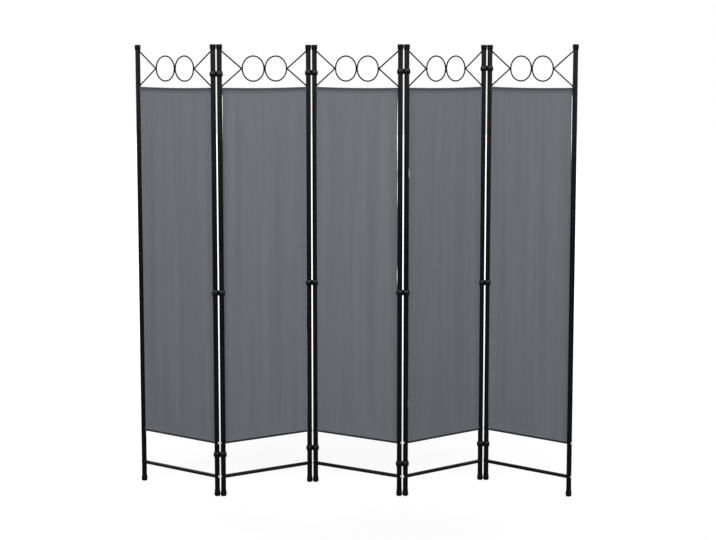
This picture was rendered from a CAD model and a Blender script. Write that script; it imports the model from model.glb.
# %% [markdown]
# This script dresses a folding screen with five panels. Its posts, rails, rods and screws come
# from the CAD model as a fixed frame. The caps, feet, clips, wire ornaments and the fabric are
# modelled here, because they need softer shapes than a CAD solid gives, and every surface gets
# a material. Sizes are in metres, so a value in millimetres is multiplied by MM.

# %% Load the frame
import math

import bpy
from mathutils import Matrix, Vector


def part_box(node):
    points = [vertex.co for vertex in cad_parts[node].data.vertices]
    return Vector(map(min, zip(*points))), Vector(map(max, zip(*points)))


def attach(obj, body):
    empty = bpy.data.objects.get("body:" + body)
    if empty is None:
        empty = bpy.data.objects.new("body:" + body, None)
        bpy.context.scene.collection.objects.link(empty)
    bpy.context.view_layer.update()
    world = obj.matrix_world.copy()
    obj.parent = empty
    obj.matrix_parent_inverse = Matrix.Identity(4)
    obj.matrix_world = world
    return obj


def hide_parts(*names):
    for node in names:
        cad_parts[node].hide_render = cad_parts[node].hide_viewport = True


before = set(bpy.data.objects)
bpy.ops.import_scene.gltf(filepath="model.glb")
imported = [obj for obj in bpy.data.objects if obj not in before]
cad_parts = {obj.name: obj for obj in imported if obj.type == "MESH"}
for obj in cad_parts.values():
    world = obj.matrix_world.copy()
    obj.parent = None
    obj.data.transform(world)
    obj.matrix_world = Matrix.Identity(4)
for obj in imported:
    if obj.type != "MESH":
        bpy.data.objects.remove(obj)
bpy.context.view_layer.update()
MM = 0.001

# %% [markdown]
# The camera stands about six metres in front of the screen, a little above its top, and looks
# slightly down, which is how the picture of the real screen was taken. The focal length was
# found in pixels of a picture 716 wide, and Blender wants it in millimetres on its 36 mm sensor.
# A small upward shift keeps the posts nearly parallel without cutting other views.

# %% Camera
IMAGE_W = 716
SENSOR_MM = 36
FOCAL_PX = 1619
SHIFT_PX = 12
CAMERA_AT = Vector((0.107, -6.110, 1.641))
CAMERA_TILT = math.radians(6.96)
CAMERA_TURN = math.radians(0.81)

camera_data = bpy.data.cameras.new("camera")
camera_data.sensor_width = SENSOR_MM
camera_data.lens = FOCAL_PX * SENSOR_MM / IMAGE_W
camera_data.shift_y = -SHIFT_PX / IMAGE_W
camera_data.clip_end = 100
camera = bpy.data.objects.new("camera", camera_data)
camera.location = CAMERA_AT
camera.rotation_euler = (math.radians(90) - CAMERA_TILT, 0, CAMERA_TURN)
bpy.context.scene.collection.objects.link(camera)
bpy.context.scene.camera = camera
bpy.context.scene.view_settings.view_transform = "Standard"
print("lens", round(camera_data.lens, 2), "mm")

# %% [markdown]
# Materials in Blender are graphs of nodes. One small function adds a node, sets its options and
# its unlinked inputs, and links the others, so that each material below reads as a short list.
# Colours are written as the hex values that a picture program shows. Those are sRGB values, and
# Blender calculates with linear ones, so one function converts them.

# %% Helpers for colours and nodes
def linear(hex_colour):
    levels = [int(hex_colour[k:k + 2], 16) / 255 for k in (1, 3, 5)]
    values = [v / 12.92 if v <= 0.04045 else ((v + 0.055) / 1.055) ** 2.4 for v in levels]
    return (*values, 1.0)


def add_node(tree, kind, settings=None, inputs=None):
    made = tree.nodes.new(kind)
    for name, value in (settings or {}).items():
        setattr(made, name, value)
    for name, value in (inputs or {}).items():
        if isinstance(value, bpy.types.NodeSocket):
            tree.links.new(value, made.inputs[name])
        else:
            made.inputs[name].default_value = value
    return made


def new_material(name):
    material = bpy.data.materials.new(name)
    material.use_nodes = True
    material.node_tree.nodes.clear()
    return material, material.node_tree


def finish_material(tree, shader):
    add_node(tree, "ShaderNodeOutputMaterial", inputs={"Surface": shader.outputs[0]})


print("middle grey in linear values:", round(linear("#808080")[0], 3))

# %% [markdown]
# Three kinds of node come up again and again, so each has a function that calls the one above.
# A calculation takes its values in their order. A ramp turns a value that goes from start to end
# into one that goes from low to high. Cloudy gloss is a noise through a ramp, because a real
# surface is never equally rough all over. Most of a noise lies between 0.3 and 0.7.

# %% Helpers for repeated nodes
NOISE_LOW = 0.3
NOISE_HIGH = 0.7


def calculate(tree, operation, *values):
    made = add_node(tree, "ShaderNodeMath", {"operation": operation}, dict(enumerate(values)))
    return made.outputs[0]


def ramp(tree, value, start, end, low, high):
    made = add_node(tree, "ShaderNodeMapRange", inputs={
        "Value": value, "From Min": start, "From Max": end, "To Min": low, "To Max": high})
    return made.outputs[0]


def cloudy_gloss(tree, place, scale, detail, low, high):
    clouds = add_node(tree, "ShaderNodeTexNoise", inputs={
        "Vector": place.outputs["Object"], "Scale": scale, "Detail": detail})
    return ramp(tree, clouds.outputs["Fac"], NOISE_LOW, NOISE_HIGH, low, high)


print("noise is read from", NOISE_LOW, "to", NOISE_HIGH)

# %% [markdown]
# The floor is a plain pale plane. Seen by the camera it is part diffuse, so the screen's soft
# shadow stays on it, and part white light, so it runs into the white background. Further away
# the white part grows to the whole, which hides the floor's far edge. As a light the floor is a
# darker grey, so that it throws little light up: the undersides of the hems stay dark, and the
# posts grow blacker towards their feet.

# %% Floor
FLOOR_SIZE = 60
FLOOR_GREY = "#B8B8B8"
FLOOR_GREY_AS_LIGHT = "#707070"
SHADOW_SHARE = 0.4
FLOOR_GLOW = 1.35
FADE_FROM = 1.4
FADE_TO = 4.5

bpy.ops.object.select_all(action="DESELECT")
bpy.ops.mesh.primitive_plane_add(size=FLOOR_SIZE, location=(0, 0, 0))
floor = bpy.context.object
floor.name = "studio_floor"
floor_material, tree = new_material("matt_white_studio_floor")
diffuse = add_node(tree, "ShaderNodeBsdfDiffuse", inputs={"Color": linear(FLOOR_GREY)})
as_light = add_node(tree, "ShaderNodeBsdfDiffuse", inputs={
    "Color": linear(FLOOR_GREY_AS_LIGHT)})
glow = add_node(tree, "ShaderNodeEmission", inputs={
    "Color": (1, 1, 1, 1), "Strength": FLOOR_GLOW})
place = add_node(tree, "ShaderNodeTexCoord")
reach = add_node(tree, "ShaderNodeVectorMath", {"operation": "LENGTH"},
                 {0: place.outputs["Object"]})
share = ramp(tree, reach.outputs["Value"], FADE_FROM, FADE_TO, 1 - SHADOW_SHARE, 1.0)
seen = add_node(tree, "ShaderNodeMixShader", inputs={
    0: share, 1: diffuse.outputs[0], 2: glow.outputs[0]})
light_path = add_node(tree, "ShaderNodeLightPath")
surface = add_node(tree, "ShaderNodeMixShader", inputs={
    0: light_path.outputs["Is Camera Ray"], 1: as_light.outputs[0], 2: seen.outputs[0]})
finish_material(tree, surface)
floor.data.materials.append(floor_material)
print("floor of", FLOOR_SIZE, "m with shadows at", SHADOW_SHARE)

# %% [markdown]
# Panels that face left and panels that face right have the same tone on the real screen, so the
# soft lamps stand in pairs. Two are in front, left and right, and a third hangs high between
# them and makes the upper half of the fabric a little lighter. Two more light the back. The sky
# adds a little light from all sides. It looks white to the camera, in reflections and through
# clear things. Each lamp is written as its place, its size in metres and its power in watts.

# %% Lamps and sky
AMBIENT = 0.15
LAMP_AIM = Vector((0, 0, 0.95))
LAMPS = {
    "soft_lamp_left": ((-2.6, -3.2, 3.0), 1.8, 107),
    "soft_lamp_right": ((2.6, -3.2, 3.0), 1.8, 107),
    "soft_lamp_above": ((0, -3.6, 4.2), 2.4, 58),
    "soft_lamp_back_left": ((-4.0, 5.4, 3.5), 2.4, 320),
    "soft_lamp_back_right": ((4.0, 5.4, 3.5), 2.4, 320),
}


def add_lamp(name, at, size, power):
    data = bpy.data.lights.new(name, "AREA")
    data.shape = "SQUARE"
    data.size = size
    data.energy = power
    lamp = bpy.data.objects.new(name, data)
    lamp.location = at
    lamp.rotation_euler = (LAMP_AIM - Vector(at)).to_track_quat("-Z", "Y").to_euler()
    bpy.context.scene.collection.objects.link(lamp)


for lamp_name, (at, size, power) in LAMPS.items():
    add_lamp(lamp_name, at, size, power)

world = bpy.data.worlds.new("white_studio")
bpy.context.scene.world = world
world.use_nodes = True
world.node_tree.nodes.clear()
tree = world.node_tree
light_path = add_node(tree, "ShaderNodeLightPath")
seen_or_mirrored = calculate(tree, "MAXIMUM", light_path.outputs["Is Camera Ray"],
                             light_path.outputs["Is Glossy Ray"])
white_rays = calculate(tree, "MAXIMUM", seen_or_mirrored,
                       light_path.outputs["Is Transmission Ray"])
sky = add_node(tree, "ShaderNodeBackground", inputs={
    "Color": (1, 1, 1, 1), "Strength": ramp(tree, white_rays, 0.0, 1.0, AMBIENT, 1.0)})
add_node(tree, "ShaderNodeOutputWorld", inputs={"Surface": sky.outputs[0]})
print("lamps:", ", ".join(LAMPS))

# %% [markdown]
# The posts, rails and ornaments are steel with a black powder coat. The powder melts in an oven
# and sets with a faint orange peel of dimples about a millimetre wide, so the gloss is soft and
# a reflection breaks up slightly. The dimples are drawn 1.6 mm wide so that they show. The coat
# of the tubes mirrors more than that of the ornament's wire.

# %% Powder-coated steel
PEEL_PITCH = 1.6 * MM
PEEL_DEPTH = 0.012 * MM
COAT_CLOUDS_PER_M = 28.0


def powder_coated_steel(name, colour, roughness, gloss_level):
    material, tree = new_material(name)
    place = add_node(tree, "ShaderNodeTexCoord")
    peel = add_node(tree, "ShaderNodeTexNoise", inputs={
        "Vector": place.outputs["Object"], "Scale": 1 / PEEL_PITCH, "Detail": 1.0})
    dimples = add_node(tree, "ShaderNodeBump", inputs={
        "Height": peel.outputs["Fac"], "Distance": PEEL_DEPTH, "Strength": 0.8})
    gloss = cloudy_gloss(tree, place, COAT_CLOUDS_PER_M, 3.0, roughness - 0.04, roughness + 0.05)
    shader = add_node(tree, "ShaderNodeBsdfPrincipled", inputs={
        "Base Color": linear(colour), "Roughness": gloss, "IOR": 1.5,
        "Specular IOR Level": gloss_level, "Normal": dimples.outputs[0]})
    finish_material(tree, shader)
    return material


tube_finish = powder_coated_steel("black_powder_coated_steel_tube", colour="#0A0A0B",
                                  roughness=0.22, gloss_level=0.2)
wire_finish = powder_coated_steel("black_powder_coated_steel_wire", colour="#090909",
                                  roughness=0.36, gloss_level=0.07)
print("powder coat dimples", PEEL_PITCH, "m wide")

# %% [markdown]
# Caps, feet and clips are injection-moulded plastic. Caps and feet are polyethylene, satin with
# a fine grain from the spark-eroded mould, half a millimetre drawn as 0.8 mm. The clips are
# nylon, a little glossier.

# %% Moulded plastic
GRAIN_PITCH = 0.8 * MM
FLOW_CLOUDS_PER_M = 90.0


def moulded_plastic(name, colour, roughness, grain_depth, gloss_level):
    material, tree = new_material(name)
    place = add_node(tree, "ShaderNodeTexCoord")
    grain = add_node(tree, "ShaderNodeTexVoronoi", {"feature": "SMOOTH_F1"}, {
        "Vector": place.outputs["Object"], "Scale": 1 / GRAIN_PITCH})
    rough_skin = add_node(tree, "ShaderNodeBump", inputs={
        "Height": grain.outputs["Distance"], "Distance": grain_depth, "Strength": 0.6})
    gloss = cloudy_gloss(tree, place, FLOW_CLOUDS_PER_M, 2.0, roughness - 0.05, roughness + 0.06)
    shader = add_node(tree, "ShaderNodeBsdfPrincipled", inputs={
        "Base Color": linear(colour), "Roughness": gloss, "IOR": 1.51,
        "Specular IOR Level": gloss_level, "Normal": rough_skin.outputs[0]})
    finish_material(tree, shader)
    return material


end_finish = moulded_plastic("black_moulded_polyethylene", colour="#0A0A0B", roughness=0.46,
                             grain_depth=0.05 * MM, gloss_level=0.08)
clip_finish = moulded_plastic("black_moulded_nylon", colour="#0B0B0C", roughness=0.32,
                              grain_depth=0.03 * MM, gloss_level=0.17)
print("plastic grain", GRAIN_PITCH, "m wide")

# %% [markdown]
# The screws are zinc plated and bright. The hem rods are plain drawn steel, which carries fine
# lines along its length from the die. They run level, each panel in its own direction, so the
# lines come from a noise that is squeezed in height and depth alike and only stretched sideways.

# %% Bare metals
HAZE_PER_M = 900.0
DIE_LINES_PER_M = (20, 20, 1600)
DIE_LINE_DEPTH = 0.02 * MM


def plated_zinc(name):
    material, tree = new_material(name)
    place = add_node(tree, "ShaderNodeTexCoord")
    haze = add_node(tree, "ShaderNodeTexNoise", inputs={
        "Vector": place.outputs["Object"], "Scale": HAZE_PER_M, "Detail": 2.0})
    gloss = ramp(tree, haze.outputs["Fac"], 0.0, 1.0, 0.4, 0.6)
    shader = add_node(tree, "ShaderNodeBsdfPrincipled", inputs={
        "Base Color": linear("#F4F5F6"), "Metallic": 0.6, "Roughness": gloss})
    finish_material(tree, shader)
    return material


def drawn_steel(name):
    material, tree = new_material(name)
    place = add_node(tree, "ShaderNodeTexCoord")
    along = add_node(tree, "ShaderNodeMapping", inputs={
        "Vector": place.outputs["Object"], "Scale": DIE_LINES_PER_M})
    lines = add_node(tree, "ShaderNodeTexNoise", inputs={
        "Vector": along.outputs[0], "Scale": 1.0, "Detail": 2.0})
    gloss = ramp(tree, lines.outputs["Fac"], 0.0, 1.0, 0.28, 0.5)
    scored = add_node(tree, "ShaderNodeBump", inputs={
        "Height": lines.outputs["Fac"], "Distance": DIE_LINE_DEPTH, "Strength": 0.5})
    shader = add_node(tree, "ShaderNodeBsdfPrincipled", inputs={
        "Base Color": linear("#8C8E90"), "Metallic": 1.0, "Roughness": gloss,
        "Normal": scored.outputs[0]})
    finish_material(tree, shader)
    return material


screw_finish = plated_zinc("bright_zinc_plated_steel")
rod_finish = drawn_steel("cold_drawn_steel_rod")
print("metals:", screw_finish.name, rod_finish.name)

# %% [markdown]
# The fabric is a plain weave of grey polyester yarn. Warp and weft cross about every half
# millimetre, drawn here every 1.2 mm so that the weave shows. The height map multiplies two
# sine waves, which gives the over and under of a plain weave, and the thinner of two rounded
# bands adds the gaps between the yarns. Real yarn is uneven, so streaks of lighter and darker
# grey run along both directions, and broad faint ones run down the warp, where its tension
# changed in the loom. The pattern follows the cloth's own UV map, in metres.

# %% Weave and yarn
YARN_PITCH = 1.2 * MM
WEAVE_DEPTH = 0.25 * MM
CLOTH_GREY = "#6E7177"
CLOTH_LIGHT = "#7A7D83"
CLOTH_DARK = "#616469"
WARP_STREAKS = (650, 9, 1)
WEFT_STREAKS = (12, 700, 1)
BROAD_STREAKS = (38, 0.9, 1)
BROAD_SHARE = 0.35


def weave_height(tree, flat):
    waves = []
    yarns = []
    for axis in ("X", "Y"):
        turns = calculate(tree, "MULTIPLY", flat.outputs[axis], math.pi / YARN_PITCH)
        wave = calculate(tree, "SINE", turns)
        waves.append(wave)
        yarns.append(calculate(tree, "ABSOLUTE", wave))
    over_under = calculate(tree, "MULTIPLY", *waves)
    lifted = calculate(tree, "MULTIPLY_ADD", over_under, 0.3, 0.3)
    gaps = calculate(tree, "MINIMUM", *yarns)
    return over_under, calculate(tree, "MULTIPLY_ADD", gaps, 0.4, lifted)


def yarn_tone(tree, place, over_under):
    streaks = []
    for stretch in (WARP_STREAKS, WEFT_STREAKS, BROAD_STREAKS):
        drawn = add_node(tree, "ShaderNodeMapping", inputs={
            "Vector": place.outputs["UV"], "Scale": stretch})
        slub = add_node(tree, "ShaderNodeTexNoise", inputs={
            "Vector": drawn.outputs[0], "Scale": 1.0, "Detail": 2.0, "Roughness": 0.6})
        streaks.append(slub.outputs["Fac"])
    warp, weft, broad = streaks
    warp_on_top = ramp(tree, over_under, -0.2, 0.2, 0.25, 0.95)
    slubs = add_node(tree, "ShaderNodeMix", {"data_type": "FLOAT"}, {
        0: warp_on_top, 2: weft, 3: warp})
    uneven = add_node(tree, "ShaderNodeMix", {"data_type": "FLOAT"}, {
        0: BROAD_SHARE, 2: slubs.outputs[0], 3: broad})
    tone = add_node(tree, "ShaderNodeValToRGB", inputs={"Fac": uneven.outputs[0]})
    stops = tone.color_ramp.elements
    stops[0].position = 0.25
    stops[0].color = linear(CLOTH_DARK)
    stops[1].position = 0.75
    stops[1].color = linear(CLOTH_LIGHT)
    stops.new(0.5).color = linear(CLOTH_GREY)
    return tone.outputs[0]


print("yarns every", YARN_PITCH, "m")

# %% [markdown]
# In a hem no light comes through the two layers, so it is a little darker, and so is the woven
# edge at the sides. Round a rod the weave is drawn open over the dark steel, which the eye reads
# as a dark line. The lower hem, seen from above, shows that line fully, the upper one less.

# %% Hems and the whole cloth
SELVEDGE = 5 * MM
SELVEDGE_SHADE = 0.35
HEM_LAYERS = 21 * MM
HEM_EDGE = 1 * MM
HEM_SHADE = 0.6
CREASE_GREY = "#1C1D1F"
CREASE_FULL = 9.5 * MM
CREASE_EDGE = 12 * MM
UPPER_CREASE = 0.6
LOWER_CREASE = 1.0


def hem_tone(tree, flat, tone, cloth_w, cloth_l, fold_at):
    from_side = calculate(tree, "PINGPONG", flat.outputs["X"], cloth_w / 2)
    at_selvedge = ramp(tree, from_side, SELVEDGE, SELVEDGE * 0.7, 0.0, SELVEDGE_SHADE)
    from_end = calculate(tree, "PINGPONG", flat.outputs["Y"], cloth_l / 2)
    layers_end = fold_at + HEM_LAYERS
    at_hem = ramp(tree, from_end, layers_end, layers_end - HEM_EDGE, 0.0, HEM_SHADE)
    doubled = calculate(tree, "MAXIMUM", at_selvedge, at_hem)
    shade = add_node(tree, "ShaderNodeMix", {"data_type": "RGBA"}, {
        0: doubled, 6: tone, 7: linear(CLOTH_DARK)})
    off_fold = calculate(tree, "ABSOLUTE", calculate(tree, "SUBTRACT", from_end, fold_at))
    lower_end = calculate(tree, "GREATER_THAN", flat.outputs["Y"], cloth_l / 2)
    opened = ramp(tree, lower_end, 0.0, 1.0, UPPER_CREASE, LOWER_CREASE)
    crease = ramp(tree, off_fold, CREASE_EDGE, CREASE_FULL, 0.0, opened)
    creased = add_node(tree, "ShaderNodeMix", {"data_type": "RGBA"}, {
        0: crease, 6: shade.outputs[2], 7: linear(CREASE_GREY)})
    return creased.outputs[2]


def woven_polyester(name, cloth_w, cloth_l, fold_at):
    material, tree = new_material(name)
    place = add_node(tree, "ShaderNodeTexCoord")
    flat = add_node(tree, "ShaderNodeSeparateXYZ", inputs={0: place.outputs["UV"]})
    over_under, height = weave_height(tree, flat)
    weave = add_node(tree, "ShaderNodeBump", inputs={
        "Height": height, "Distance": WEAVE_DEPTH, "Strength": 0.7})
    tone = yarn_tone(tree, place, over_under)
    shader = add_node(tree, "ShaderNodeBsdfPrincipled", inputs={
        "Base Color": hem_tone(tree, flat, tone, cloth_w, cloth_l, fold_at),
        "Roughness": 0.88, "Normal": weave.outputs[0], "Sheen Weight": 0.08,
        "Sheen Roughness": 0.5, "Specular IOR Level": 0.3})
    finish_material(tree, shader)
    return material


print("hem layers end", HEM_LAYERS, "m from the fold")

# %% Sewing thread
PLIES_PER_M = 2500.0
PLY_DEPTH = 0.05 * MM


def sewing_thread(name):
    material, tree = new_material(name)
    place = add_node(tree, "ShaderNodeTexCoord")
    twist = add_node(tree, "ShaderNodeTexNoise", inputs={
        "Vector": place.outputs["Object"], "Scale": PLIES_PER_M, "Detail": 1.0})
    tone = add_node(tree, "ShaderNodeMix", {"data_type": "RGBA"}, {
        0: twist.outputs["Fac"], 6: linear("#54575B"), 7: linear("#6B6E72")})
    plies = add_node(tree, "ShaderNodeBump", inputs={
        "Height": twist.outputs["Fac"], "Distance": PLY_DEPTH, "Strength": 0.6})
    shader = add_node(tree, "ShaderNodeBsdfPrincipled", inputs={
        "Base Color": tone.outputs[2], "Roughness": 0.6, "Normal": plies.outputs[0]})
    finish_material(tree, shader)
    return material


thread_finish = sewing_thread("spun_polyester_thread")
print("thread:", thread_finish.name)

# %% [markdown]
# The pieces stand where the CAD frame says. The middle of each post's box is its axis, and the
# line between a panel's two post axes gives the panel's heading. A piece that all panels share
# is modelled once, with the left post on the origin and the right post along X, and copied with
# a mesh of its own to each panel's place. Clips and cups go round a post with a running play.

# %% Places from the frame
PANELS = range(1, 6)
FOLDS = range(1, 5)
RUNNING_PLAY = 0.05 * MM


def middle_of(node):
    low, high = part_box(node)
    return (low + high) / 2


def on_floor(start, end):
    along = end - start
    heading = math.atan2(along.y, along.x)
    return Matrix.Translation((start.x, start.y, 0)) @ Matrix.Rotation(heading, 4, "Z")


panel_place = {}
for n in PANELS:
    left_axis = middle_of(f"panel_{n}_left_post")
    right_axis = middle_of(f"panel_{n}_right_post")
    panel_place[n] = on_floor(left_axis, right_axis)
SPAN = (right_axis - left_axis).to_2d().length
fold_place = {}
for n in FOLDS:
    fold_place[n] = on_floor(middle_of(f"panel_{n}_right_post"),
                             middle_of(f"panel_{n + 1}_left_post"))
PITCH = (middle_of("panel_2_left_post") - middle_of("panel_1_right_post")).to_2d().length
post_low, post_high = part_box("panel_1_left_post")
POST_R = (post_high.x - post_low.x) / 2
BORE_R = POST_R + RUNNING_PLAY
print("post span", round(SPAN, 4), "radius", round(POST_R, 5), "clip pitch", round(PITCH, 4))

# %% [markdown]
# Small helpers serve all the modelling. An operator acts on all that is selected, so the first
# one clears the selection. A round piece is drawn as on a lathe: a circle is added and extruded
# and scaled from ring to ring, then its open ends are filled. Finishing a shape leaves edit
# mode, moves the object's place into its mesh and smooths it.

# %% Helpers that draw a shape
WELD_WITHIN = 0.001 * MM


def deselect():
    bpy.ops.object.select_all(action="DESELECT")


def draw_rings(rings, sides):
    deselect()
    radius, height = rings[0]
    bpy.ops.mesh.primitive_circle_add(vertices=sides, radius=radius, location=(0, 0, height))
    bpy.ops.object.mode_set(mode="EDIT")
    bpy.ops.mesh.select_all(action="SELECT")
    for next_radius, next_height in rings[1:]:
        bpy.ops.mesh.extrude_region_move(
            TRANSFORM_OT_translate={"value": (0, 0, next_height - height)})
        wider = next_radius / radius
        bpy.ops.transform.resize(value=(wider, wider, 1), center_override=(0, 0, next_height))
        radius = next_radius
        height = next_height


def fill_open_ends():
    bpy.ops.mesh.select_mode(type="VERT")
    bpy.ops.mesh.select_all(action="SELECT")
    bpy.ops.mesh.remove_doubles(threshold=WELD_WITHIN)
    bpy.ops.mesh.select_all(action="DESELECT")
    bpy.ops.mesh.select_non_manifold()
    bpy.ops.mesh.fill_holes(sides=0)


def finish_shape(name, smooth_angle=35):
    if bpy.context.object.mode == "EDIT":
        bpy.ops.mesh.select_all(action="SELECT")
        bpy.ops.mesh.normals_make_consistent(inside=False)
        bpy.ops.object.mode_set(mode="OBJECT")
    shape = bpy.context.object
    bpy.ops.object.transform_apply(location=True, rotation=True, scale=True)
    bpy.ops.object.shade_smooth_by_angle(angle=math.radians(smooth_angle))
    shape.name = name
    return shape


def round_corner(centre_r, centre_z, radius, first, last, steps):
    angles = [math.radians(first + (last - first) * k / steps) for k in range(steps + 1)]
    return [(centre_r + radius * math.cos(a), centre_z + radius * math.sin(a)) for a in angles]


print("points within", WELD_WITHIN, "m are merged")

# %% [markdown]
# The other helpers join and place shapes. Joining puts shapes that stay apart in one object.
# Welding makes one solid of several with boolean unions.

# %% Helpers that join and place shapes
def join_shapes(name, shapes):
    deselect()
    for shape in shapes:
        shape.select_set(True)
    bpy.context.view_layer.objects.active = shapes[0]
    bpy.ops.object.join()
    shapes[0].name = name
    return shapes[0]


def turned_copy(shape, x):
    copy = shape.copy()
    copy.data = shape.data.copy()
    copy.data.transform(Matrix.Translation((x, 0, 0)) @ Matrix.Rotation(math.pi, 4, "Z"))
    bpy.context.scene.collection.objects.link(copy)
    return copy


def weld_together(base, others, smooth_angle):
    deselect()
    base.select_set(True)
    bpy.context.view_layer.objects.active = base
    for other in others:
        union = base.modifiers.new("weld", "BOOLEAN")
        union.operation = "UNION"
        union.solver = "EXACT"
        union.object = other
        bpy.ops.object.modifier_apply(modifier="weld")
        bpy.data.objects.remove(other)
    bpy.ops.object.shade_smooth_by_angle(angle=math.radians(smooth_angle))
    return base


def put_piece(pattern, name, place, body, finish, slot, *nodes):
    piece = pattern.copy()
    piece.data = pattern.data.copy()
    piece.name = name
    piece.data.name = name
    piece.data.transform(place)
    piece.data.materials.clear()
    piece.data.materials.append(finish)
    bpy.context.scene.collection.objects.link(piece)
    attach(piece, body)
    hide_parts(*nodes)
    return piece


print("panels:", len(panel_place), "folds:", len(fold_place))

# %% [markdown]
# A top cap is a moulded cup pushed over the post. It is narrow at its mouth, widens in a soft
# curve, and has a rounded crown. The rings go down the inside, round the rim of the mouth and up
# the outside, so the cup has a real wall. The foot is the same kind of cup. It is widest 9 mm
# above the floor, drawn in towards its mouth and rounded like a ball below. The rings of the
# crown are written as their radius and their depth below the top, in millimetres.

# %% Caps and feet
CAP_R = 11.5 * MM
CAP_MOUTH_R = POST_R + 0.7 * MM
CAP_EDGE_R = 2.2 * MM
CAP_WIDENS_OVER = 0.62
CROWN_DROP = 0.25 * MM
CROWN_RINGS = ((7.0, 0.1), (3.5, 0.03), (1.0, 0.0))
FOOT_R = 11.45 * MM
FOOT_MOUTH_R = POST_R + 0.6 * MM
FOOT_EDGE_R = 6.5 * MM
FOOT_WIDE_Z = 9 * MM
INNER_RING = 6 * MM
CENTRE_R = 1.0 * MM
CUP_SIDES = 40
CAP_LOW, CAP_TOP = (corner.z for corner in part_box("panel_1_top_caps"))
FOOT_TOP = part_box("panel_1_feet")[1].z


def cap_rings():
    rise = CAP_WIDENS_OVER * (CAP_TOP - CAP_LOW)
    rim_r = (CAP_MOUTH_R - BORE_R) / 2
    edge_z = CAP_TOP - CAP_EDGE_R - CROWN_DROP
    rings = [(BORE_R, post_high.z), (BORE_R, CAP_LOW + INNER_RING)]
    rings += round_corner(BORE_R + rim_r, CAP_LOW + rim_r, rim_r, 180, 360, 6)
    for k in range(1, 9):
        u = k / 8
        rings.append((CAP_MOUTH_R + (CAP_R - CAP_MOUTH_R) * (1 - (1 - u) ** 2),
                      CAP_LOW + rim_r + (rise - rim_r) * u))
    rings += round_corner(CAP_R - CAP_EDGE_R, edge_z, CAP_EDGE_R, 0, 78, 7)
    rings += [(radius * MM, CAP_TOP - drop * MM) for radius, drop in CROWN_RINGS]
    return rings


def foot_rings():
    rim_r = (FOOT_MOUTH_R - BORE_R) / 2
    rings = [(BORE_R, post_low.z), (BORE_R, FOOT_TOP - INNER_RING)]
    rings += round_corner(BORE_R + rim_r, FOOT_TOP - rim_r, rim_r, 180, 0, 6)
    for k in range(1, 11):
        u = 1 - k / 10
        rings.append((FOOT_R - (FOOT_R - FOOT_MOUTH_R) * u * u * (3 - 2 * u),
                      FOOT_WIDE_Z + (FOOT_TOP - rim_r - FOOT_WIDE_Z) * u))
    rings += round_corner(FOOT_R - FOOT_EDGE_R, FOOT_EDGE_R, FOOT_EDGE_R, 0, -90, 10)
    rings.append((CENTRE_R, 0.0))
    return rings


def cup_pair(name, rings):
    draw_rings(rings, CUP_SIDES)
    fill_open_ends()
    left_cup = finish_shape(name)
    return join_shapes(name, [left_cup, turned_copy(left_cup, SPAN)])


cap_pattern = cup_pair("cap_pattern", cap_rings())
foot_pattern = cup_pair("foot_pattern", foot_rings())
for n in PANELS:
    put_piece(cap_pattern, f"panel_{n}_cap_pair", panel_place[n], f"panel_{n}",
              end_finish, "end_plastic", f"panel_{n}_top_caps")
    put_piece(foot_pattern, f"panel_{n}_foot_pair", panel_place[n], f"panel_{n}",
              end_finish, "end_plastic", f"panel_{n}_feet")
for pattern in (cap_pattern, foot_pattern):
    bpy.data.objects.remove(pattern)
print("caps from", round(CAP_LOW, 4), "to", round(CAP_TOP, 4))

# %% [markdown]
# A clip is two short barrels joined by a thick web, moulded in one. Each barrel goes round a
# post and turns on it, which is how the screen folds. It is widest halfway up and curves in by
# 2 mm towards its ends. The rings run down the bore and up the barrel's outside and meet again,
# so the barrel is a closed tube. The web is a bevelled block that ends inside both walls, and a
# boolean union makes the three one solid.

# %% Clips
CLIP_R = 13.5 * MM
CLIP_HALF = 10.5 * MM
CLIP_EDGE_R = 1.3 * MM
BARREL_DROP = 2.0 * MM
BARREL_SIDES = 48
BORE_BEVEL = 0.5 * MM
WEB_W = 9 * MM
WEB_H = 12 * MM
WEB_BEVEL = 1.0 * MM
WEB_INSET = 0.6 * MM
WEB_L = PITCH - 2 * BORE_R - 2 * WEB_INSET


def barrel_rings():
    end_r = CLIP_R - BARREL_DROP - CLIP_EDGE_R
    flat_z = CLIP_HALF - CLIP_EDGE_R
    rings = [(BORE_R, 0.0), (BORE_R, -CLIP_HALF + BORE_BEVEL), (BORE_R + BORE_BEVEL, -CLIP_HALF)]
    rings += round_corner(end_r, -flat_z, CLIP_EDGE_R, -90, -10, 5)
    for k in range(-6, 7):
        t = k / 7
        rings.append((CLIP_R - BARREL_DROP * t * t, flat_z * t))
    rings += round_corner(end_r, flat_z, CLIP_EDGE_R, 10, 90, 5)
    rings += [(BORE_R + BORE_BEVEL, CLIP_HALF), (BORE_R, CLIP_HALF - BORE_BEVEL), (BORE_R, 0.0)]
    return rings


def make_barrel():
    draw_rings(barrel_rings(), BARREL_SIDES)
    bpy.ops.mesh.select_all(action="SELECT")
    bpy.ops.mesh.remove_doubles(threshold=WELD_WITHIN)
    return finish_shape("barrel")


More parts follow.
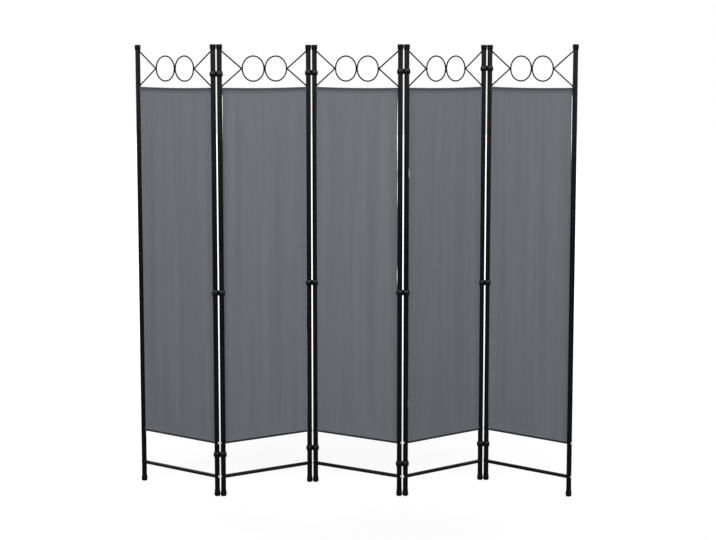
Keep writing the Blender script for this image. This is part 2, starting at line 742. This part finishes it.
left_barrel = make_barrel()
right_barrel = turned_copy(left_barrel, PITCH)
deselect()
bpy.ops.mesh.primitive_cube_add(size=1, location=(PITCH / 2, 0, 0), scale=(WEB_L, WEB_W, WEB_H))
bpy.ops.object.transform_apply(location=True, rotation=True, scale=True)
bpy.ops.object.mode_set(mode="EDIT")
bpy.ops.mesh.select_all(action="SELECT")
bpy.ops.mesh.bevel(offset=WEB_BEVEL, segments=3, profile=0.5, affect="EDGES")
web = finish_shape("web")
clip_pattern = weld_together(left_barrel, [web, right_barrel], smooth_angle=35)
for n in FOLDS:
    for level in ("top", "middle", "bottom"):
        node = f"fold_{n}_{level}_clip"
        height = middle_of(node).z
        put_piece(clip_pattern, f"fold_{n}_{level}_double_ring",
                  fold_place[n] @ Matrix.Translation((0, 0, height)), f"fold_{n}_clips",
                  clip_finish, "clip_plastic", node)
print("clip faces:", len(clip_pattern.data.polygons))
bpy.data.objects.remove(clip_pattern)

# %% [markdown]
# The ornament between the post tops is welded from 5 mm wire, 5.4 mm with its coat: two rings
# that touch in the middle and a V on each side. A V is one wire. Its circle starts at the upper
# weld on the post, is extruded to the bend, spun round the bend and extruded on to the lower
# weld. The two straight lines meet a little past the rounded tip, so the V's angle is found from
# the tip first and then from that corner. A weld leaves a small uneven bead of metal, here a
# sphere that is pressed longer and roughened a little. The boolean union then makes one welded
# piece of them. A bead is written as its radius and how it is stretched.

# %% Ornament sizes
WIRE_R = 2.7 * MM
WIRE_SIDES = 16
RING_LINE_R = 46.5 * MM
RING_OFFSET = 48.7 * MM
RING_SIDES = 112
RING_Z = middle_of("panel_1_top_ornament").z
V_HALF_H = 65 * MM
V_START_X = POST_R - 0.6 * MM
V_TIP_X = 91.6 * MM
BEND_R = 3.6 * MM
MIDDLE_BEAD = (3.1 * MM, (1.0, 0.95, 1.5))
TIP_BEAD = (4.3 * MM, (1.0, 0.85, 1.2))
TIP_BEAD_PAST = 1.2 * MM
POST_BEAD = (2.9 * MM, (1.1, 0.95, 1.1))
POST_BEAD_OUT = 1.0 * MM
BEAD_ROUGHNESS = 0.12 * MM

tip_angle = math.atan2(V_HALF_H, V_TIP_X - V_START_X)
corner_x = V_TIP_X + BEND_R / math.sin(tip_angle) - BEND_R
tip_angle = math.atan2(V_HALF_H, corner_x - V_START_X)
print("ornament centre height", round(RING_Z, 4), "V half angle",
      round(math.degrees(tip_angle), 1))


# %% Bend a V from one wire
def bend_v():
    down = Vector((math.cos(tip_angle), 0, -math.sin(tip_angle)))
    back = Vector((-down.x, 0, down.z))
    start = Vector((V_START_X, 0, RING_Z + V_HALF_H))
    corner = Vector((corner_x, 0, RING_Z))
    straight = (corner - start).length - BEND_R / math.tan(tip_angle)
    turn = math.pi - 2 * tip_angle
    deselect()
    bpy.ops.mesh.primitive_circle_add(
        vertices=WIRE_SIDES, radius=WIRE_R, location=start,
        rotation=(0, math.atan2(down.x, down.z), 0))
    bpy.ops.object.mode_set(mode="EDIT")
    bpy.ops.mesh.select_all(action="SELECT")
    bpy.ops.mesh.extrude_region_move(TRANSFORM_OT_translate={"value": down * straight})
    bend_centre = corner - Vector((BEND_R / math.sin(tip_angle), 0, 0))
    bpy.ops.mesh.spin(steps=10, angle=turn, center=bend_centre, axis=(0, -1, 0))
    bpy.ops.mesh.extrude_region_move(TRANSFORM_OT_translate={"value": back * straight})
    fill_open_ends()
    return finish_shape("v_wire")


left_v = bend_v()
right_v = turned_copy(left_v, SPAN)
v_points = [vertex.co for vertex in left_v.data.vertices]
print("V reaches x", round(max(point.x for point in v_points), 4), "and z",
      round(min(point.z for point in v_points), 4), round(max(point.z for point in v_points), 4))


# %% Rings, beads and the welded whole
def weld_bead(x, z, bead, seed):
    radius, stretch = bead
    deselect()
    bpy.ops.mesh.primitive_ico_sphere_add(subdivisions=3, radius=radius, location=(x, 0, z))
    bpy.ops.object.mode_set(mode="EDIT")
    bpy.ops.mesh.select_all(action="SELECT")
    bpy.ops.transform.resize(value=stretch, center_override=(x, 0, z))
    bpy.ops.transform.vertex_random(offset=BEAD_ROUGHNESS, normal=1.0, seed=seed)
    return finish_shape("bead", 80)


rings = []
for side in (-1, 1):
    deselect()
    bpy.ops.mesh.primitive_torus_add(
        major_radius=RING_LINE_R, minor_radius=WIRE_R, major_segments=RING_SIDES,
        minor_segments=WIRE_SIDES, rotation=(math.pi / 2, 0, 0),
        location=(SPAN / 2 + side * RING_OFFSET, 0, RING_Z))
    rings.append(finish_shape("ring", 80))
beads = [weld_bead(SPAN / 2, RING_Z, MIDDLE_BEAD, 1)]
for side in (-1, 1):
    to_tip = (SPAN / 2 - V_TIP_X - TIP_BEAD_PAST) * side
    to_post = side * (SPAN / 2 - POST_R - POST_BEAD_OUT)
    beads.append(weld_bead(SPAN / 2 + to_tip, RING_Z, TIP_BEAD, 3 + side))
    for lift in (-1, 1):
        beads.append(weld_bead(SPAN / 2 + to_post, RING_Z + lift * V_HALF_H, POST_BEAD,
                               8 + 2 * side + lift))
ornament_pattern = weld_together(left_v, [*rings, right_v, *beads], smooth_angle=50)
for n in PANELS:
    put_piece(ornament_pattern, f"panel_{n}_welded_ornament", panel_place[n], f"panel_{n}",
              wire_finish, "ornament_wire", f"panel_{n}_top_ornament")
print("ornament faces:", len(ornament_pattern.data.polygons))
bpy.data.objects.remove(ornament_pattern)

# %% [markdown]
# The fabric is one sheet with a rod pocket at each end. The cloth starts at the hem's cut edge
# at the back, goes up round the rod, down the front, under the lower rod and up again to the
# other cut edge. It is a grid whose rows follow that path, so its UV map can hold true lengths
# on the flat cloth and the weave keeps its size. The rows stand closer together beside the
# middle clips, whose barrels push the side edges in.

# %% Path round a rod
ROD_WRAP_R = 4.15 * MM
LEAVES_ROD_AT = math.radians(-20)
SEAM_DROP = 15.0 * MM
SEAM_RISE = 2 * MM
FLAP_DROP = 19.0 * MM
FLAP_LIFT = 0.5 * MM
FLAP_BEND = 0.15 * MM
BACK_Y = 0.3 * MM
FRONT_Y = -0.25 * MM
POCKET_OPENS = 0.25 * MM
POCKET_DROP = 12 * MM
POCKET_BACK_Y = 0.6 * MM
POCKET_FRONT_Y = 0.5 * MM


# Points (y, height above the rod's centre) of a hem, from the cut edge to the sheet
def hem_path():
    seam_top = -SEAM_DROP + SEAM_RISE
    touch_y = ROD_WRAP_R * math.cos(LEAVES_ROD_AT)
    touch_z = ROD_WRAP_R * math.sin(LEAVES_ROD_AT)
    path = [(BACK_Y + FLAP_LIFT, -FLAP_DROP), (BACK_Y + FLAP_BEND, -FLAP_DROP + SEAM_RISE),
            (BACK_Y, -SEAM_DROP), (BACK_Y + POCKET_OPENS, seam_top)]
    for k in range(1, 4):
        u = k / 4
        path.append((POCKET_BACK_Y + (touch_y - POCKET_BACK_Y) * u,
                     -POCKET_DROP + (touch_z + POCKET_DROP) * u))
    for k in range(19):
        a = LEAVES_ROD_AT + (math.pi - 2 * LEAVES_ROD_AT) * k / 18
        path.append((ROD_WRAP_R * math.cos(a), ROD_WRAP_R * math.sin(a)))
    for k in range(1, 4):
        u = k / 4
        path.append((-touch_y + (touch_y - POCKET_FRONT_Y) * u,
                     touch_z - (POCKET_DROP + touch_z) * u))
    path += [(FRONT_Y - POCKET_OPENS, seam_top), (FRONT_Y, -SEAM_DROP)]
    return path


print("points in a hem:", len(hem_path()))

# %% [markdown]
# The upper edge of a sheet sags a little between the posts, and the sag fades out on the way
# down. The distance along the path gives the length that the cloth is cut to, and the highest
# point of the path is where it folds over the upper rod.

# %% Rows of the whole cloth
CLOTH_T = 0.5 * MM
HEM_GAP = 0.6 * MM
HEM_W = SPAN - 2 * POST_R - 2 * HEM_GAP
SAG = 3 * MM
SAG_ENDS_Z = 1.06
ROW_STEP = 8 * MM
CLIP_ROW_STEP = 1.5 * MM
ROW_MARGIN = 3 * MM
COLUMNS = 52
TOP_ROD_Z = 1537.3 * MM
BOTTOM_ROD_Z = 205.7 * MM
SHEET_LOW = BOTTOM_ROD_Z + SEAM_DROP
SHEET_HIGH = TOP_ROD_Z - SEAM_DROP
middle_clip_z = {n: middle_of(f"fold_{n}_middle_clip").z for n in FOLDS}


def soft(t):
    t = min(max(t, 0.0), 1.0)
    return t * t * (3 - 2 * t)


def sag_at(x):
    return SAG * (1 - (2 * x / SPAN - 1) ** 2)


# Rows as (y, height, share of the sag that the row takes)
def cloth_rows():
    rows = [(y, TOP_ROD_Z + z, 1.0) for y, z in hem_path()]
    clips_high = max(middle_clip_z.values()) + CLIP_HALF + ROW_MARGIN
    clips_low = min(middle_clip_z.values()) - CLIP_HALF - ROW_MARGIN
    z = SHEET_HIGH - ROW_STEP
    while z > SHEET_LOW + ROW_MARGIN:
        rows.append((0.0, z, soft((z - SAG_ENDS_Z) / (SHEET_HIGH - SAG_ENDS_Z))))
        z -= CLIP_ROW_STEP if clips_low < z < clips_high else ROW_STEP
    rows += [(y, BOTTOM_ROD_Z - z, 0.0) for y, z in reversed(hem_path())]
    return rows


cloth_path = cloth_rows()
lengths = [0.0]
for (y0, z0, _), (y1, z1, _) in zip(cloth_path, cloth_path[1:]):
    lengths.append(lengths[-1] + math.hypot(y1 - y0, z1 - z0))
CUT_LENGTH = lengths[-1]
path_heights = [z for _, z, _ in cloth_path]
FOLD_AT = lengths[path_heights.index(max(path_heights))]
print("cloth cut to", round(HEM_W, 4), "by", round(CUT_LENGTH, 4), "rows", len(cloth_path),
      "fold after", round(FOLD_AT, 4))

# %% [markdown]
# The sheet hangs with slack of a few millimetres in soft upright folds. Waves of three lengths
# make them, and they fade out towards both hems, where the rods hold the cloth straight. Each
# panel has its own phase, so no two sheets look alike. A wave is written as how many cross the
# first sheet, how many more cross each next one, its phase from panel to panel in degrees, how
# many millimetres of height turn it by a degree, and its share of the whole. The side edges lie
# close beside the posts, apart from places where the cloth is pulled in and light shows through.
# Each of those is its height, half its length and its depth, in millimetres.

# %% Folds and side edges of a sheet
LEFT, RIGHT = -1, 1
FOLD_DEPTH = 2.2 * MM
WAVES = (
    (2.2, 0.4, 70, 16, 0.55),
    (4.6, -0.3, 150, -23, 0.37),
    (8.3, 0.5, 40, 9, 0.08),
)
STILL_AT_HEM = 8 * MM
LOW_FADE = 0.09
HIGH_FADE = 0.13
EDGE_GAP = 0.35 * MM
EDGE_FADE = 20 * MM
PULL_FADE = 14 * MM
CLIP_FADE = 2 * MM
CLIP_CLEARANCE = 0.2 * MM
EDGE_PULLS = {
    (1, RIGHT): [(1385, 70, 3.5)],
    (2, LEFT): [(1495, 330, 3.2)],
    (2, RIGHT): [(640, 70, 1.7)],
    (3, RIGHT): [(1385, 250, 3.3), (1160, 110, 1.8), (842, 60, 2.1)],
    (4, LEFT): [(1225, 50, 3.2), (357, 70, 3.2)],
    (5, RIGHT): [(1497, 330, 3.6)],
}


def fold_y(u, z, n):
    above = soft((z - SHEET_LOW - STILL_AT_HEM) / LOW_FADE)
    below = soft((SHEET_HIGH - STILL_AT_HEM - z) / HIGH_FADE)
    i = n - 1
    depth = 0.0
    for across, more, phase, lean, share in WAVES:
        turns = 2 * math.pi * (across + more * i) * u
        depth += share * math.sin(turns + math.radians(phase * i + z / MM / lean))
    return FOLD_DEPTH * (above * below) * depth


def edge_gap(z, n, side):
    pull = 0.0
    for height, half, depth in EDGE_PULLS.get((n, side), []):
        near = 1 - abs(z / MM - height) / half
        pull = max(pull, depth * MM * soft(near) * soft((SHEET_HIGH - z) / PULL_FADE))
    fold = n - 1 if side == LEFT else n
    if fold in middle_clip_z:
        off_clip = abs(z - middle_clip_z[fold])
        barrel = CLIP_R - POST_R - BARREL_DROP * min(off_clip / CLIP_HALF, 1) ** 2
        beside_clip = soft((CLIP_HALF + CLIP_FADE / 2 - off_clip) / CLIP_FADE)
        pull = max(pull, (barrel + CLIP_CLEARANCE) * beside_clip)
    at_hem = 1 - soft((z - SHEET_LOW) / EDGE_FADE) * soft((SHEET_HIGH - z) / EDGE_FADE)
    return EDGE_GAP + (HEM_GAP - EDGE_GAP) * at_hem + pull


print("sheet body from", round(SHEET_LOW, 4), "to", round(SHEET_HIGH, 4), "clips at",
      [round(z, 3) for z in sorted(middle_clip_z.values())])


# %% One sheet of cloth
def make_cloth(n):
    deselect()
    last = len(cloth_path) - 1
    bpy.ops.mesh.primitive_grid_add(x_subdivisions=COLUMNS, y_subdivisions=last, size=1)
    cloth = bpy.context.object
    mesh = cloth.data
    spots = {}
    for vertex in mesh.vertices:
        spots[vertex.index] = (round((vertex.co.x + 0.5) * COLUMNS),
                               round((vertex.co.y + 0.5) * last))
    for vertex in mesh.vertices:
        column, row = spots[vertex.index]
        u = column / COLUMNS
        y, z, sag_share = cloth_path[row]
        left = POST_R + edge_gap(z, n, LEFT)
        right = SPAN - POST_R - edge_gap(z, n, RIGHT)
        x = left + (right - left) * u
        if SHEET_LOW < z < SHEET_HIGH:
            y += fold_y(u, z, n)
        vertex.co = (x, y, z - sag_at(x) * sag_share)
    uv = mesh.uv_layers.active.data
    for loop in mesh.loops:
        column, row = spots[loop.vertex_index]
        uv[loop.index].uv = (column / COLUMNS * HEM_W, lengths[row])
    thick = cloth.modifiers.new("thickness", "SOLIDIFY")
    thick.thickness = CLOTH_T
    thick.offset = 0
    bpy.ops.object.modifier_apply(modifier="thickness")
    return finish_shape(f"panel_{n}_cloth", 60)


print("a sheet has", COLUMNS + 1, "by", len(cloth_path), "points before it is thickened")

# %% [markdown]
# A row of lockstitches closes each rod pocket. A stitch is a short thread that dips into the
# cloth at both ends: a six-sided rod with its ends drawn thin. An array modifier repeats it
# along the hem, once on the front and once on the back, and the upper rows follow the sag.

# %% Stitches
STITCH_PITCH = 3.5 * MM
STITCH_R = 0.24 * MM
STITCH_LENGTH = STITCH_PITCH * 0.82
ROD_SHARE = 0.6
TIP_SHARE = 0.2
TIP_SIZE = 0.45
UNSTITCHED = 6 * MM
STITCH_SIDES_Y = (-0.55 * MM, 0.6 * MM)


def stitch_row(y, z, sags):
    deselect()
    count = int((HEM_W - UNSTITCHED) / STITCH_PITCH)
    start_x = (SPAN - STITCH_PITCH * (count - 1)) / 2
    bpy.ops.mesh.primitive_cylinder_add(
        vertices=6, radius=STITCH_R, depth=STITCH_LENGTH * ROD_SHARE,
        location=(start_x, y, z), rotation=(0, math.pi / 2, 0))
    bpy.ops.object.transform_apply(location=True, rotation=True, scale=True)
    stitch = bpy.context.object
    bpy.ops.object.mode_set(mode="EDIT")
    bpy.ops.mesh.select_mode(type="FACE")
    for side in (-1, 1):
        bpy.ops.mesh.select_all(action="DESELECT")
        bpy.ops.object.mode_set(mode="OBJECT")
        for face in stitch.data.polygons:
            face.select = face.normal.x * side > 0.9
        bpy.ops.object.mode_set(mode="EDIT")
        bpy.ops.mesh.extrude_region_move(
            TRANSFORM_OT_translate={"value": (side * STITCH_LENGTH * TIP_SHARE, 0, 0)})
        bpy.ops.transform.resize(value=(TIP_SIZE, TIP_SIZE, TIP_SIZE))
    bpy.ops.object.mode_set(mode="OBJECT")
    repeat = stitch.modifiers.new("along_hem", "ARRAY")
    repeat.count = count
    repeat.use_relative_offset = False
    repeat.use_constant_offset = True
    repeat.constant_offset_displace = (STITCH_PITCH, 0, 0)
    bpy.ops.object.modifier_apply(modifier="along_hem")
    if sags:
        for vertex in stitch.data.vertices:
            vertex.co.z -= sag_at(vertex.co.x)
    return finish_shape("stitch_row", 60)


stitch_rows = []
for y in STITCH_SIDES_Y:
    stitch_rows.append(stitch_row(y, SHEET_HIGH, True))
    stitch_rows.append(stitch_row(y, SHEET_LOW, False))
stitch_pattern = join_shapes("stitch_pattern", stitch_rows)
print("stitch faces:", len(stitch_pattern.data.polygons))

# %% Fabric of all panels
cloth_finish = woven_polyester("grey_plain_woven_polyester", HEM_W, CUT_LENGTH, FOLD_AT)
for n in PANELS:
    sheet_pattern = make_cloth(n)
    cloth = put_piece(sheet_pattern, f"panel_{n}_woven_sheet", panel_place[n], f"panel_{n}",
                      cloth_finish, "screen_fabric", f"panel_{n}_fabric")
    bpy.data.objects.remove(sheet_pattern)
    stitches = put_piece(stitch_pattern, f"panel_{n}_hem_stitches", panel_place[n],
                         f"panel_{n}", thread_finish, "screen_fabric", f"panel_{n}_fabric")
bpy.data.objects.remove(stitch_pattern)
print("sheets:", len(PANELS))

# %% [markdown]
# The posts, rails, rods and screws keep their CAD shapes, which are right as they are. They only
# get their finishes: each material slot of the node is set to the material of its kind.

# %% Finishes of the CAD nodes
CAD_FINISHES = {"left_post": tube_finish, "right_post": tube_finish,
                "bottom_rail": tube_finish, "hem_rods": rod_finish, "screws": screw_finish}
for n in PANELS:
    for piece, finish in CAD_FINISHES.items():
        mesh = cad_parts[f"panel_{n}_{piece}"].data
        mesh.materials.clear()
        mesh.materials.append(finish)
print("CAD nodes kept:", len(PANELS) * len(CAD_FINISHES))
